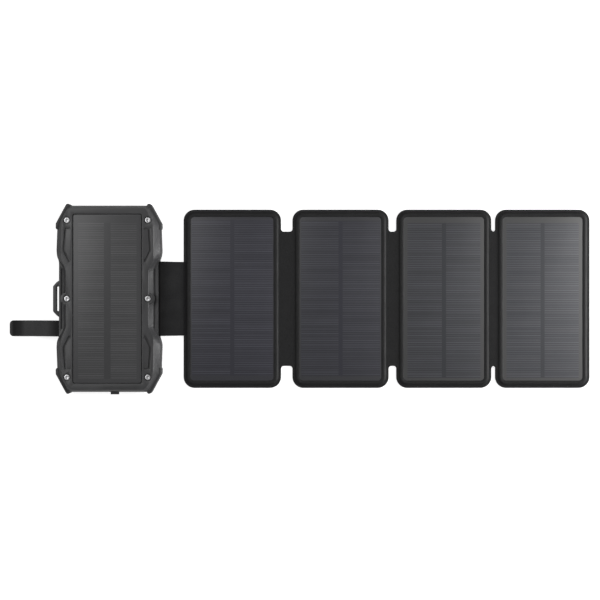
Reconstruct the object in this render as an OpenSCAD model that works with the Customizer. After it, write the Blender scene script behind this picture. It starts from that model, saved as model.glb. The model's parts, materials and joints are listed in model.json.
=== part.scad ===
// Folding solar phone charger: a rugged power bank with its own solar face, four leatherette
// solar panels that roll up onto that face, and a snap strap that holds the roll shut.
// Origin: centre of the bank's back face, on the table. +X runs out along the open panels,
// +Z is the side that faces the sun.

/* [Bank] */
// Width of the bank over its side bumps
bank_w = 84.6; // [76:0.1:102]
// Length of the bank over its flat ends
bank_l = 150.6; // [140:0.1:181]
// Thickness of the bank, back face to front face
bank_t = 21.5; // [19.5:0.1:26]
// Height of the joint between the two shells, where the fabric leaves the bank
parting_z = 11.5; // [10.5:0.1:12.5]
// Height of the shoulder where the sides of the front frame begin to slope
shoulder_z = 15; // [14:0.1:16.5]
// Thickness of the back wall
back_wall = 1.8; // [1.2:0.1:2.2]
// Thickness of the wall at the hollow in each side
side_wall = 2.4; // [2:0.1:3]
// Depth of the hollow in the middle of each side
hollow_d = 2.1; // [1.5:0.1:3]
// Length of the hollow in the middle of each side
hollow_l = 61.5; // [60:0.1:66]
// Thickness of the corner bumpers
bumper_t = 2.4; // [1.8:0.1:3]

/* [Solar face of the bank] */
// Width of the window in the front frame
window_w = 54.8; // [45:0.1:56]
// Length of the window in the front frame
window_l = 135.4; // [110:0.1:137]
// Thickness of the solar laminate in the window
laminate_t = 1.5; // [1.2:0.1:1.8]

/* [Screws] */
// Distance of the screw rows from the middle of the bank
screw_x = 32.5; // [31:0.1:33]
// Distance of the end screws from the middle of the bank
screw_y = 63.1; // [60:0.1:64]
// Diameter of the screw shank
screw_d = 2.5; // [2:0.1:3]
// Diameter of the screw head
head_d = 4.4; // [4:0.1:5.2]
// Outside diameter of the screw bosses
boss_d = 7; // [6.2:0.1:7.4]

/* [Panels] */
// Width of the first panel between its two creases
panel_w = 79.8; // [60:0.1:96]
// Length of every panel
panel_l = 146; // [122:0.1:176]
// Thickness of every panel
panel_t = 2.9; // [2.7:0.1:3.5]
// Corner radius of every panel
panel_r = 9; // [7:0.1:12]
// Leatherette border round each solar window
border = 6.2; // [5.6:0.1:8]
// Width of the pressed flange at the panel's edge
flange_w = 2.2; // [1.8:0.1:2.6]
// Thickness of the leatherette skins
skin_t = 0.7; // [0.5:0.1:0.8]

/* [Webs and ribbon] */
// Length of the webs that join the panels
web_l = 110; // [90:0.5:120]
// Thickness of the webs
web_t = 0.8; // [0.6:0.1:1]
// Width of the ribbon that joins the bank to the first panel
ribbon_w = 60.4; // [50:0.1:60.6]
// Thickness of the ribbon
ribbon_t = 1.0; // [0.8:0.1:1.2]
// Air between two panels when they are rolled up
layer_gap = 0.2; // [0.1:0.05:0.5]

/* [Strap] */
// Width of the closing strap
strap_w = 13; // [9:0.1:14]
// Thickness of the closing strap
strap_t = 1.2; // [0.8:0.1:1.4]
// Place of the strap along the side of the bank
strap_y = -24.1; // [-25:0.1:-22]
// Length of the strap's tip, past its second crease
tip_l = 19.8; // [17:0.1:28]
// Diameter of the snap fastener
snap_d = 9; // [7:0.1:10]

/* [Lanyard lug] */
// Length of the slot in the lug
lug_slot_l = 19.8; // [16:0.1:22]
// Width of the slot, from the side wall to the bar
lug_slot_w = 2.2; // [1.8:0.1:4]
// Thickness of the lug's bar
lug_bar = 3.2; // [2:0.1:4]
// Height of the lug
lug_h = 2.8; // [2:0.1:4]

/* [Ports and controls] */
// Length of the port cover
cover_l = 46; // [44.5:0.1:48]
// Place of the port cover across the end of the bank
cover_x = 5; // [3:0.1:7]
// Thickness of the port cover
cover_t = 1.2; // [1:0.1:1.4]
// Place of the button along the left side
button_y = 51.6; // [50:0.1:52]
// Length of the button
button_l = 7.6; // [6:0.1:8]
// Height of the button
button_h = 4; // [3:0.1:5]
// Travel of the button
button_travel = 0.6; // [0.3:0.05:0.8]

/* [Hidden] */
$fn = 48;

// Air between two pieces that fit into each other
fit = 0.1;
// Air between a crease and what stands beside it
crease_gap = 0.1;
// Air between the side hollow and the fabric that folds up in it
side_gap = 0.3;
// Overcut of a hole past the face it opens in
cut = 1;

half_w = bank_w / 2;
half_l = bank_l / 2;
hollow_x = half_w - hollow_d;
cavity_x = hollow_x - side_wall;
end_wall = 2.5;
cavity_y = half_l - end_wall;

// Fronts of the bank, from the top down
laminate_drop = 0.4;
laminate_z = bank_t - laminate_drop - laminate_t;
adhesive_t = 0.3;
seat_z = laminate_z - adhesive_t;
seat_floor = 1.1;
cavity_top = seat_z - seat_floor;
head_h = 1.5;
head_drop = 0.6;
head_z = bank_t - head_drop - head_h;
counterbore_d = head_d + 1.4;
insert_h = 5;
insert_d = screw_d + 1.4;
screw_tip_z = parting_z - insert_h + 0.5;
screw_places = [for (sx = [-1, 1], sy = [-1, 0, 1]) [sx * screw_x, sy * screw_y]];

// Rolled-up heights: panel 2 lies on the bank, then panels 4, 3 and 1
pitch = panel_t + layer_gap;
mid_z = panel_t / 2;
layer_z = [for (n = [0:3]) bank_t + layer_gap + mid_z + n * pitch];
web_12_w = layer_z[3] - layer_z[0];
web_23_w = layer_z[2] - layer_z[0];
web_34_w = layer_z[2] - layer_z[1];

// Each panel that rolls up inside another is narrower by the web that wraps round it
panel_2_w = panel_w - (ribbon_t + web_t) / 2 - crease_gap;
panel_3_w = panel_2_w - web_t - crease_gap;
panel_4_w = panel_3_w - web_t / 2 - 2 * crease_gap;

// The ribbon slopes from the parting line down to the first panel
ribbon_x = hollow_x + side_gap + ribbon_t / 2;
ribbon_l = layer_z[3] - parting_z;
ribbon_drop = parting_z - mid_z;
ribbon_slope = asin(ribbon_drop / ribbon_l);
panel_1_x = ribbon_x + ribbon_l * cos(ribbon_slope);
web_12_x = panel_1_x + panel_w;
panel_2_x = web_12_x + web_12_w;
web_23_x = panel_2_x + panel_2_w;
panel_3_x = web_23_x + web_23_w;
web_34_x = panel_3_x + panel_3_w;
panel_4_x = web_34_x + web_34_w;

// The strap slopes from the other side of the bank down to the table
strap_x = -(hollow_x + side_gap + strap_t / 2);
stud_plate = 0.5;
stud_pin = 1.2;
stud_pin_d = 3.8;
strap_closed_z = layer_z[3] + mid_z + layer_gap + stud_plate + strap_t / 2;
strap_rest_z = stud_plate + stud_pin + strap_t / 2;
strap_l = strap_closed_z - parting_z;
strap_slope = asin((parting_z - strap_rest_z) / strap_l);
strap_crease_x = strap_x - strap_l * cos(strap_slope);
snap_inset = 6;
snap_reach = tip_l - snap_inset;
snap_x = panel_1_x + ribbon_x - (strap_x + snap_reach);
socket_h = 1.5;

// Inside each panel
pocket_inset = flange_w + 1.7;
stiffener_t = 0.8;
panel_laminate_t = 1.0;
stiffener_z = skin_t;
panel_laminate_z = stiffener_z + stiffener_t;
lip_z = panel_laminate_z + panel_laminate_t;
flange_top = skin_t + 1.0;
lead_w = 12;
lead_t = 0.3;

// Slots in the side walls that the fabric passes through
slot_h = 0.1;
bead_d = 1.6;
tail_end = 0.15;

// Ports, at the near end
board_z = 5;
board_t = 1.6;
board_w = 54;
board_l = 22;
board_y = -cavity_y + 0.2;
port_z = board_z + board_t;
cover_recess = cover_t + 0.1;
recess_y = -half_l + cover_recess;
cover_bottom = 3;
cover_top = 14.4;
barrel_r = cover_t / 2;
cover_axis_y = -half_l + barrel_r;
cover_axis_z = cover_bottom + barrel_r;
usb_a = [13.2, 14, 5.8];
usb_a_hole = [12, 9, 4.6];
usb_a_xs = [cover_x - 13, cover_x + 2];
usb_c = [9, 7.4, 3.3];
usb_c_x = cover_x + 15.5;

// Controls, in the left side
control_z = 6.4;
button_proud = 0.4;
button_flange = 0.8;
led_ys = [for (n = [0:3]) 36 + 2.6 * n];
led_d = 1.6;
torch_z = 6.4;
torch_d = 8;

// Battery pack
battery_w = 56;
battery_y0 = -cavity_y + board_l + 6;
battery_y1 = screw_y + 3;
battery_z0 = back_wall + 0.6;
cell_gap = 0.4;
pad_t = 0.6;
cell_t = (cavity_top - battery_z0 - cell_gap - pad_t) / 2;

// Foot of the slope in the middle of each side, halfway between the screws and the hollow
foot_x = (screw_x + hollow_x) / 2;

// Corner points of one quarter of an outline, each with the distance over which it is blended
outer_quarter = [
    [hollow_x, hollow_l / 2, 3], [half_w, hollow_l / 2 + 5.5, 3.5], [half_w - 0.9, half_l - 14.5, 3],
    [half_w - 8.6, half_l - 0.7, 1.2], [half_w - 11.2, half_l, 1.2]
];
shoulder_quarter = [
    [foot_x, hollow_l / 2 - 6, 3], [half_w - 0.2, hollow_l / 2 + 3, 3.5],
    [half_w - 1, half_l - 14.6, 3], [half_w - 8.8, half_l - 1, 1.2], [half_w - 11.4, half_l - 0.3, 1.2]
];
plateau_quarter = [
    [screw_x + 0.8, hollow_l / 2 - 7.3, 3], [half_w - 4.6, hollow_l / 2 + 1.5, 3.5],
    [half_w - 5.2, half_l - 14.6, 3], [half_w - 10.6, half_l - 3.6, 1], [half_w - 13, half_l - 2, 1]
];
pocket_points = [
    [window_w / 2 + 1.8, screw_y - 6.2, 0.8], [window_w / 2 + 6.8, screw_y - 6.2, 0.8],
    [window_w / 2 + 8.5, hollow_l / 2 + 8.5, 1.5], [window_w / 2 + 3.8, hollow_l / 2 - 1.2, 0.8],
    [window_w / 2 + 1.8, hollow_l / 2 - 1.2, 0.4]
];
blend_steps = 4;
// The sloping sides of the front frame, as tiers from the shoulder up to the front face
slope_h = bank_t - shoulder_z;
slope_tiers = 3;
tier_overlap = 0.5;
boss_drop = 0.3;
boss_rim = 2.1;
// The room inside narrows above the shoulder, where the sides slope in between the corners
ledge_t = 1.6;
waist_x = screw_x + 0.5;
// Groove along the foot of the slope, in the middle of each side
groove_d = 0.8;
// Step that eases the edge of the back face
back_step = 0.8;

function inset(q, d) = [for (p = q) [p.x - d, p.y - d, p.z]];
function four(q) = concat(
    q,
    [for (i = [len(q) - 1:-1:0]) [-q[i].x, q[i].y, q[i].z]],
    [for (p = q) [-p.x, -p.y, p.z]],
    [for (i = [len(q) - 1:-1:0]) [q[i].x, -q[i].y, q[i].z]]
);
function flat(p) = [p.x, p.y];
function towards(a, b, d) = flat(a) + (flat(b) - flat(a)) * d / norm(flat(b) - flat(a));
// The curve that rounds corner b between its neighbours a and c
function corner(a, b, c) =
    let (from = towards(b, a, b.z), to = towards(b, c, b.z))
    [for (k = [0:blend_steps])
        let (t = k / blend_steps)
        (1 - t) * (1 - t) * from + 2 * t * (1 - t) * flat(b) + t * t * to];
function rounded(pts) =
    let (n = len(pts))
    [for (i = [0:n - 1]) each corner(pts[(i + n - 1) % n], pts[i], pts[(i + 1) % n])];

// Outline part of the way from one quarter to another that has the same corners
function between(q, r, t) = [for (i = [0:len(q) - 1]) q[i] * (1 - t) + r[i] * t];

// Stack of straight tiers, each an outline and the heights it spans
module tiers(list) {
    for (tier = list) translate([0, 0, tier[0]]) linear_extrude(tier[1] - tier[0])
        polygon(rounded(four(tier[2])));
}

module each_quarter() {
    for (sx = [0, 1], sy = [0, 1]) mirror([sx, 0, 0]) mirror([0, sy, 0]) children();
}

// Box from its lowest corner to its highest
module span(a, b) {
    translate(a) cube(b - a);
}

// Flat cylinder between two points of one axis
module rod_x(x0, x1, y, z, d) {
    translate([x0, y, z]) rotate([0, 90, 0]) cylinder(d = d, h = x1 - x0);
}

module rod_y(y0, y1, x, z, d) {
    translate([x, y0, z]) rotate([-90, 0, 0]) cylinder(d = d, h = y1 - y0);
}

module rounded_box_2d(x0, x1, half_y, r) {
    translate([x0 + r, -half_y]) square([x1 - x0 - 2 * r, 2 * half_y]);
    translate([x0, -half_y + r]) square([x1 - x0, 2 * half_y - 2 * r]);
    for (x = [x0 + r, x1 - r], y = [-half_y + r, half_y - r]) translate([x, y]) circle(r);
}

module octagon_2d(a, b) {
    polygon([for (p = four([a, b])) flat(p)]);
}

module cavity(z0, z1) {
    translate([0, 0, z0]) linear_extrude(z1 - z0) octagon_2d([cavity_x, half_l - 19], [27, cavity_y]);
}

// Room inside the front frame: full width up to the shoulder, waisted above it
module front_room() {
    cavity(parting_z - cut, shoulder_z - ledge_t);
    translate([0, 0, parting_z - cut]) linear_extrude(cavity_top - parting_z + cut)
        polygon([for (p = four([
            [waist_x, hollow_l / 2 - 8], [cavity_x, hollow_l / 2 + 4], [cavity_x, half_l - 19], [27, cavity_y]
        ])) flat(p)]);
}

// The gasket runs in the side walls and passes outside the corner screws
module gasket_2d(grow) {
    octagon_2d([cavity_x + grow, half_l - 16.6], [28.5 + grow, cavity_y + grow]);
}

module gasket_ring(z0, z1) {
    translate([0, 0, z0]) linear_extrude(z1 - z0) difference() {
        gasket_2d(1.5);
        gasket_2d(0.7);
    }
}

// Openings that both shells share: fabric slots, gasket groove, port recess and sockets
module shared_cuts() {
    span([cavity_x - cut, -ribbon_w / 2 - fit, parting_z - ribbon_t / 2 - slot_h],
         [half_w, ribbon_w / 2 + fit, parting_z + ribbon_t / 2 + slot_h]);
    span([-half_w, strap_y - strap_w / 2 - fit, parting_z - strap_t / 2 - slot_h],
         [-cavity_x + cut, strap_y + strap_w / 2 + fit, parting_z + strap_t / 2 + slot_h]);
    gasket_ring(parting_z - 0.5, parting_z + 0.5);
    span([cover_x - cover_l / 2 - fit, -half_l - cut, cover_bottom - fit],
         [cover_x + cover_l / 2 + fit, recess_y, cover_top + fit]);
    for (x = usb_a_xs) translate([x, 0, 0])
        span([-usb_a.x / 2 - fit, recess_y - cut, port_z - fit],
             [usb_a.x / 2 + fit, -cavity_y + cut, port_z + usb_a.z + fit]);
    translate([usb_c_x, 0, 0])
        span([-usb_c.x / 2 - fit, recess_y - cut, port_z - fit],
             [usb_c.x / 2 + fit, -cavity_y + cut, port_z + usb_c.z + fit]);
}

module bumper_2d() {
    polygon([
        [half_w - 0.25, half_l - 19.3], [half_w + 0.35, half_l - 18], [half_w + 0.25, half_l - 14.4],
        [half_w - 7.7, half_l + 0.3], [half_w - 8.5, half_l + 1.4], [half_w - 10.3, half_l + 1.5],
        [half_w - 11.6, half_l - 0.05], [half_w - 10.4, half_l - bumper_t],
        [half_w - 9.6, half_l - bumper_t - 0.2], [half_w - bumper_t - 0.9, half_l - 14.9],
        [half_w - bumper_t, half_l - 19.3]
    ]);
}

module bumpers(z0, z1) {
    each_quarter() translate([0, 0, z0]) linear_extrude(z1 - z0) bumper_2d();
}

// Back half of the case, a deep tub with screw bosses and board posts
module rear_shell() {
    color([0.27, 0.27, 0.28]) difference() {
        union() {
            difference() {
                tiers([
                    [0, back_step, inset(outer_quarter, back_step)],
                    [back_step, parting_z, outer_quarter]
                ]);
                cavity(back_wall, parting_z + cut);
            }
            for (p = screw_places)
                translate([p.x, p.y, back_wall - 0.2]) cylinder(d = boss_d, h = parting_z - back_wall + 0.2);
            for (x = [-24, 24], y = [board_y + 4, board_y + board_l - 3])
                translate([x, y, back_wall - 0.2]) cylinder(d = 4, h = board_z - back_wall + 0.2);
        }
        for (p = screw_places) {
            translate([p.x, p.y, parting_z - insert_h]) cylinder(d = insert_d, h = insert_h + cut);
            translate([p.x, p.y, parting_z - insert_h - 1]) cylinder(d = screw_d, h = 2);
        }
        bumpers(3.5, parting_z + cut);
        shared_cuts();
        lug_solid();
        // button, indicator and torch holes
        span([-half_w - cut, button_y - button_l / 2 - fit, control_z - button_h / 2 - fit],
             [-cavity_x + cut, button_y + button_l / 2 + fit, control_z + button_h / 2 + fit]);
        for (y = led_ys) rod_x(-half_w - cut, -cavity_x + cut, y, control_z, led_d);
        rod_y(cavity_y - cut, half_l + cut, 0, torch_z, torch_d);
        // long grip pockets in the back
        for (sx = [-1, 1]) translate([sx * 24, 0, -cut]) linear_extrude(cut + 0.5)
            rounded_box_2d(-4, 4, 48, 3);
    }
}

module side_grooves() {
    for (sx = [0, 1]) mirror([sx, 0, 0])
        span([foot_x + 0.1, -hollow_l / 2 + 8, shoulder_z - groove_d],
             [(foot_x + hollow_x) / 2, hollow_l / 2 - 8, shoulder_z + cut]);
}

// Front half of the case: a raised frame with sloping sides round the solar window
module front_frame() {
    color([0.3, 0.3, 0.31]) difference() {
        union() {
            difference() {
                union() {
                    difference() {
                        tiers([
                            [parting_z, shoulder_z, outer_quarter],
                            for (n = [0:slope_tiers - 1]) [
                                shoulder_z + slope_h * n / slope_tiers - tier_overlap,
                                shoulder_z + slope_h * (n + 1) / slope_tiers,
                                between(shoulder_quarter, plateau_quarter, (n + 0.5) / slope_tiers)
                            ]
                        ]);
                        side_grooves();
                    }
                    for (sx = [-1, 1]) translate([sx * screw_x, 0, shoulder_z - tier_overlap])
                        cylinder(d = counterbore_d + 2 * boss_rim, h = slope_h - boss_drop + tier_overlap);
                }
                front_room();
            }
            for (p = screw_places)
                translate([p.x, p.y, parting_z]) cylinder(d = boss_d, h = cavity_top - parting_z + 0.2);
        }
        for (p = screw_places) {
            translate([p.x, p.y, parting_z - cut]) cylinder(d = screw_d + 0.4, h = bank_t);
            translate([p.x, p.y, head_z]) cylinder(d = counterbore_d, h = bank_t);
        }
        translate([0, 0, seat_z]) linear_extrude(bank_t)
            rounded_box_2d(-window_w / 2 - 0.5, window_w / 2 + 0.5, window_l / 2 + 0.5, 2);
        span([-6, window_l / 2 - 12, cavity_top - cut], [6, window_l / 2 - 8, seat_z + 0.5]);
        bumpers(parting_z - cut, shoulder_z + 0.6);
        shared_cuts();
        each_quarter() translate([0, 0, bank_t - 1.2]) linear_extrude(3) difference() {
            polygon(rounded(pocket_points));
            polygon(rounded(rib_points()));
        }
    }
}

// Rib that stands in each pocket of the front frame, clear of it on the outer side and the ends
function rib_points() =
    let (x0 = window_w / 2 + 1.0, x1 = window_w / 2 + 5.5, y0 = hollow_l / 2 + 1.2, y1 = screw_y - 7.4)
    [[x0, y1, 0.3], [x1 - 0.4, y1, 0.6], [x1 + 0.7, y0 + 7, 1], [x0 + 1.8, y0, 0.6], [x0, y0, 0.3]];

module corner_bumpers() {
    color([0.2, 0.2, 0.21]) bumpers(3.5, shoulder_z + 0.6);
}

// U-shaped lug whose legs are held between the shells
module lug_solid() {
    x_out = -(hollow_x + lug_slot_w + lug_bar);
    half = lug_slot_l / 2 + 0.3;
    leg = 4.2;
    translate([0, 0, parting_z - lug_h]) linear_extrude(lug_h) difference() {
        polygon([
            [-hollow_x + 1.6, half + leg + 0.7], [-hollow_x - 0.2, half + leg + 0.7],
            [x_out + 2.6, half + 3], [x_out, half], [x_out, -half], [x_out + 2.6, -half - 3],
            [-hollow_x - 0.2, -half - leg - 0.7], [-hollow_x + 1.6, -half - leg - 0.7]
        ]);
        translate([-hollow_x - lug_slot_w, -lug_slot_l / 2]) square([lug_slot_w + 5, lug_slot_l]);
    }
}

module lanyard_lug() {
    color([0.45, 0.45, 0.46]) lug_solid();
}

module shell_gasket() {
    gap = 0.4;
    color([0.1, 0.1, 0.1]) difference() {
        gasket_ring(parting_z - 0.5, parting_z + 0.5);
        span([0, -ribbon_w / 2 - gap, 0], [half_w, ribbon_w / 2 + gap, bank_t]);
        span([-half_w, strap_y - strap_w / 2 - gap, 0], [0, strap_y + strap_w / 2 + gap, bank_t]);
        span([-half_w, -lug_slot_l, 0], [0, lug_slot_l, bank_t]);
        span([cover_x - cover_l / 2 - gap, -half_l, 0], [cover_x + cover_l / 2 + gap, 0, bank_t]);
    }
}

module face_screws() {
    color([0.8, 0.8, 0.82]) for (p = screw_places) translate([p.x, p.y, 0]) difference() {
        union() {
            translate([0, 0, head_z]) cylinder(d = head_d, h = head_h);
            translate([0, 0, screw_tip_z]) cylinder(d = screw_d, h = head_z - screw_tip_z);
        }
        for (turn = [0, 90]) rotate(turn)
            translate([-1.25, -0.3, head_z + head_h - 0.8]) cube([2.5, 0.6, 2]);
    }
}

module threaded_inserts() {
    color([0.8, 0.65, 0.3]) for (p = screw_places) translate([p.x, p.y, parting_z - insert_h]) difference() {
        cylinder(d = insert_d, h = insert_h);
        translate([0, 0, -cut]) cylinder(d = screw_d, h = insert_h + 2 * cut);
    }
}

module bank_solar_laminate() {
    color([0.24, 0.24, 0.27]) translate([0, 0, laminate_z]) linear_extrude(laminate_t)
        rounded_box_2d(-window_w / 2, window_w / 2, window_l / 2, 1.6);
}

module laminate_adhesive() {
    color([0.85, 0.85, 0.8]) translate([0, 0, seat_z]) linear_extrude(adhesive_t) difference() {
        rounded_box_2d(-window_w / 2, window_w / 2, window_l / 2, 1.6);
        translate([-6, window_l / 2 - 12]) square([12, 4]);
    }
}

module battery_cells() {
    color([0.35, 0.5, 0.7]) for (n = [0, 1])
        translate([0, (battery_y0 + battery_y1) / 2, battery_z0 + n * (cell_t + cell_gap)])
            linear_extrude(cell_t)
                rounded_box_2d(-battery_w / 2, battery_w / 2, (battery_y1 - battery_y0) / 2, 2);
}

module battery_pads() {
    color([0.15, 0.15, 0.15]) for (z = [
        [back_wall, battery_z0], [battery_z0 + cell_t, battery_z0 + cell_t + cell_gap],
        [cavity_top - pad_t, cavity_top]
    ]) span([-20, battery_y0 + 8, z[0]], [20, battery_y1 - 8, z[1]]);
}

module battery_leads() {
    color([0.75, 0.75, 0.72]) for (x = [-9, 9])
        span([x - 2.5, board_y + board_l - 4, port_z], [x + 2.5, battery_y0, port_z + 0.2]);
}

module main_board() {
    color([0.1, 0.35, 0.2])
        span([-board_w / 2, board_y, board_z], [board_w / 2, board_y + board_l, port_z]);
}

module power_components() {
    color([0.2, 0.2, 0.2]) {
        for (x = [-22.5, 22.5]) translate([x, board_y + 14.5, port_z]) linear_extrude(4.2)
            rounded_box_2d(-3.6, 3.6, 3.6, 1);
        for (x = [-17.5, -1, 13.5]) span([x - 2, board_y + 16.5, port_z], [x + 2, board_y + 19.5, port_z + 0.9]);
        for (x = [-24.5, 24.5]) translate([x, board_y + 8.6, port_z]) cylinder(d = 4, h = 5.4);
    }
}

module usb_a_sockets() {
    color([0.75, 0.75, 0.78]) for (x = usb_a_xs) translate([x, recess_y, port_z]) {
        difference() {
            translate([-usb_a.x / 2, 0, 0]) cube(usb_a);
            translate([-usb_a_hole.x / 2, -cut, (usb_a.z - usb_a_hole.z) / 2])
                cube(usb_a_hole + [0, cut, 0]);
        }
        translate([-5.6, 2.4, 3]) cube([11.2, usb_a_hole.y - 2.4, 1.5]);
    }
}

module usb_c_socket() {
    color([0.75, 0.75, 0.78]) translate([usb_c_x, recess_y, port_z + usb_c.z / 2]) rotate([-90, 0, 0]) {
        linear_extrude(usb_c.y) difference() {
            oblong_2d(usb_c.x, usb_c.z);
            oblong_2d(usb_c.x - 0.7, usb_c.z - 0.7);
        }
        translate([0, 0, 1.6]) linear_extrude(usb_c.y - 1.6) square([6.6, 0.7], center = true);
        translate([0, 0, usb_c.y - 0.6]) linear_extrude(0.6) oblong_2d(usb_c.x, usb_c.z);
    }
}

module oblong_2d(w, h) {
    square([w - h, h], center = true);
    for (s = [-1, 1]) translate([s * (w - h) / 2, 0]) circle(d = h);
}

// The board, switch and indicators stand one behind the other inside the left wall
flange_x = -cavity_x + fit;
plunger_x = flange_x + button_flange + button_travel + fit;
switch_x = plunger_x + 0.8;
control_board_x = switch_x + 2;

module control_board() {
    color([0.1, 0.35, 0.2]) span([control_board_x, 33, 2.6], [control_board_x + 1, 57, 10.6]);
}

module tact_switch() {
    color([0.2, 0.2, 0.22]) {
        span([switch_x, button_y - 2.6, control_z - 2.6], [control_board_x, button_y + 2.6, control_z + 2.6]);
        rod_x(plunger_x, switch_x, button_y, control_z, 2.6);
    }
}

module indicator_leds() {
    color([0.9, 0.95, 0.9]) for (y = led_ys)
        span([control_board_x - 0.7, y - 0.8, control_z - 0.5], [control_board_x, y + 0.8, control_z + 0.5]);
}

module light_pipe() {
    color([0.85, 0.9, 0.95]) {
        for (y = led_ys) rod_x(-half_w + 0.25, -cavity_x, y, control_z, led_d);
        span([-cavity_x, led_ys[0] - 1.2, control_z - 1.4], [-cavity_x + 1.4, led_ys[3] + 1.2, control_z + 1.4]);
    }
}

module torch_lens() {
    color([0.9, 0.92, 0.95]) {
        rod_y(cavity_y, half_l - 0.3, 0, torch_z, torch_d);
        rod_y(cavity_y - 0.8, cavity_y, 0, torch_z, torch_d + 1);
    }
}

module torch_led() {
    color([0.95, 0.9, 0.6]) {
        span([-1.8, cavity_y - 2.4, torch_z - 1.8], [1.8, cavity_y - 1.4, torch_z + 1.8]);
        span([-5, cavity_y - 3.4, torch_z - 4], [5, cavity_y - 2.4, torch_z + 4]);
    }
}

// Fixed end of a fabric strip: it passes the side wall and ends in a sewn bead
module fabric_tail(side, y, w, t) {
    x0 = cavity_x - bead_d / 2;
    mirror([side < 0 ? 1 : 0, 0, 0]) {
        span([x0, y - w / 2, parting_z - t / 2], [hollow_x + tail_end, y + w / 2, parting_z + t / 2]);
        rod_y(y - w / 2, y + w / 2, x0, parting_z, bead_d);
    }
}

module ribbon_tail() {
    color([0.12, 0.12, 0.12]) fabric_tail(1, 0, ribbon_w, ribbon_t);
}

module strap_tail() {
    color([0.12, 0.12, 0.12]) fabric_tail(-1, strap_y, strap_w, strap_t);
}

module power_button() {
    face_x = -half_w - button_proud;
    color([0.2, 0.2, 0.21]) {
        span([face_x, button_y - button_l / 2, control_z - button_h / 2],
             [flange_x, button_y + button_l / 2, control_z + button_h / 2]);
        span([flange_x, button_y - button_l / 2 - 0.7, control_z - button_h / 2 - 0.7],
             [flange_x + button_flange, button_y + button_l / 2 + 0.7, control_z + button_h / 2 + 0.7]);
    }
}

// Rubber flap over the sockets, hinged along its lower edge, with a pull tab at its free edge
module port_cover() {
    back_y = cover_axis_y + barrel_r;
    color([0.13, 0.13, 0.13]) {
        rod_x(cover_x - cover_l / 2, cover_x + cover_l / 2, cover_axis_y, cover_axis_z, 2 * barrel_r);
        span([cover_x - cover_l / 2, back_y - cover_t, cover_axis_z], [cover_x + cover_l / 2, back_y, cover_top]);
        span([cover_x - 3.4, back_y - cover_t - 2, cover_top - 1.8], [cover_x + 3.4, back_y - cover_t, cover_top]);
        for (x = usb_a_xs) span([x - 5.5, back_y, port_z + 1.1], [x + 5.5, back_y + 1.5, port_z + 4.2]);
    }
}

// Flat web with a round knuckle on each crease and a flat lead inside
module web(l, w, t) {
    difference() {
        rotate([90, 0, 0]) linear_extrude(w, center = true) {
            translate([0, -t / 2]) square([l, t]);
            circle(d = t);
            translate([l, 0]) circle(d = t);
        }
        translate([-t, -lead_w / 2, -lead_t / 2]) cube([l + 2 * t, lead_w, lead_t]);
    }
}

module web_lead(l) {
    translate([0, -lead_w / 2, -lead_t / 2]) cube([l, lead_w, lead_t]);
}

module at_ribbon() {
    translate([ribbon_x, 0, parting_z]) rotate([0, ribbon_slope, 0]) children();
}

module ribbon() {
    color([0.14, 0.14, 0.15]) at_ribbon() web(ribbon_l, ribbon_w, ribbon_t);
}

module ribbon_lead() {
    color([0.7, 0.45, 0.2]) at_ribbon() web_lead(ribbon_l);
}

module panel_web(x, l) {
    color([0.14, 0.14, 0.15]) translate([x, 0, mid_z]) web(l, web_l, web_t);
}

module panel_web_lead(x, l) {
    color([0.7, 0.45, 0.2]) translate([x, 0, mid_z]) web_lead(l);
}

// Room for the knuckles at a panel's two creases: each entry is the strip's width and thickness
module crease_notches(w, left, right) {
    span([-cut, -left.x / 2 - 0.3, -cut], [left.y / 2 + crease_gap, left.x / 2 + 0.3, panel_t + cut]);
    span([w - right.y / 2 - crease_gap, -right.x / 2 - 0.3, -cut], [w + cut, right.x / 2 + 0.3, panel_t + cut]);
}

ribbon_crease = [ribbon_w, ribbon_t];
web_crease = [web_l, web_t];
// Place, width and creases of each panel; the last one has a free edge
panels = [
    [panel_1_x, panel_w, ribbon_crease, web_crease],
    [panel_2_x, panel_2_w, web_crease, web_crease],
    [panel_3_x, panel_3_w, web_crease, web_crease],
    [panel_4_x, panel_4_w, web_crease, undef]
];

module panel_notches(n) {
    p = panels[n];
    if (p[3] != undef) crease_notches(p[1], p[2], p[3]);
    else span([-cut, -p[2].x / 2 - 0.3, -cut], [p[2].y / 2 + crease_gap, p[2].x / 2 + 0.3, panel_t + cut]);
}

module panel_plate(n, inset_by, r, z0, z1) {
    translate([0, 0, z0]) linear_extrude(z1 - z0)
        rounded_box_2d(inset_by, panels[n][1] - inset_by, panel_l / 2 - inset_by, r);
}

module snap_hole(n) {
    if (n == 0) translate([snap_x - panel_1_x, strap_y, -cut]) cylinder(d = snap_d, h = cut + socket_h);
}

module panel_back_skin(n) {
    color([0.15, 0.15, 0.16]) translate([panels[n][0], 0, 0]) difference() {
        panel_plate(n, 0, panel_r, 0, skin_t);
        panel_notches(n);
        snap_hole(n);
    }
}

module panel_stiffener(n) {
    color([0.85, 0.85, 0.85]) translate([panels[n][0], 0, 0]) difference() {
        panel_plate(n, pocket_inset, panel_r - pocket_inset, stiffener_z, panel_laminate_z);
        snap_hole(n);
    }
}

module panel_laminate(n) {
    color([0.25, 0.25, 0.3]) translate([panels[n][0], 0, 0])
        panel_plate(n, pocket_inset, panel_r - pocket_inset, panel_laminate_z, lip_z);
}

module panel_front_skin(n) {
    color([0.17, 0.17, 0.18]) translate([panels[n][0], 0, 0]) difference() {
        union() {
            panel_plate(n, 0, panel_r, skin_t, flange_top);
            panel_plate(n, flange_w, panel_r - flange_w, skin_t, panel_t);
        }
        panel_plate(n, pocket_inset, panel_r - pocket_inset, skin_t - cut, lip_z);
        panel_plate(n, border, panel_r - border, skin_t, panel_t + cut);
        panel_notches(n);
    }
}

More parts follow.
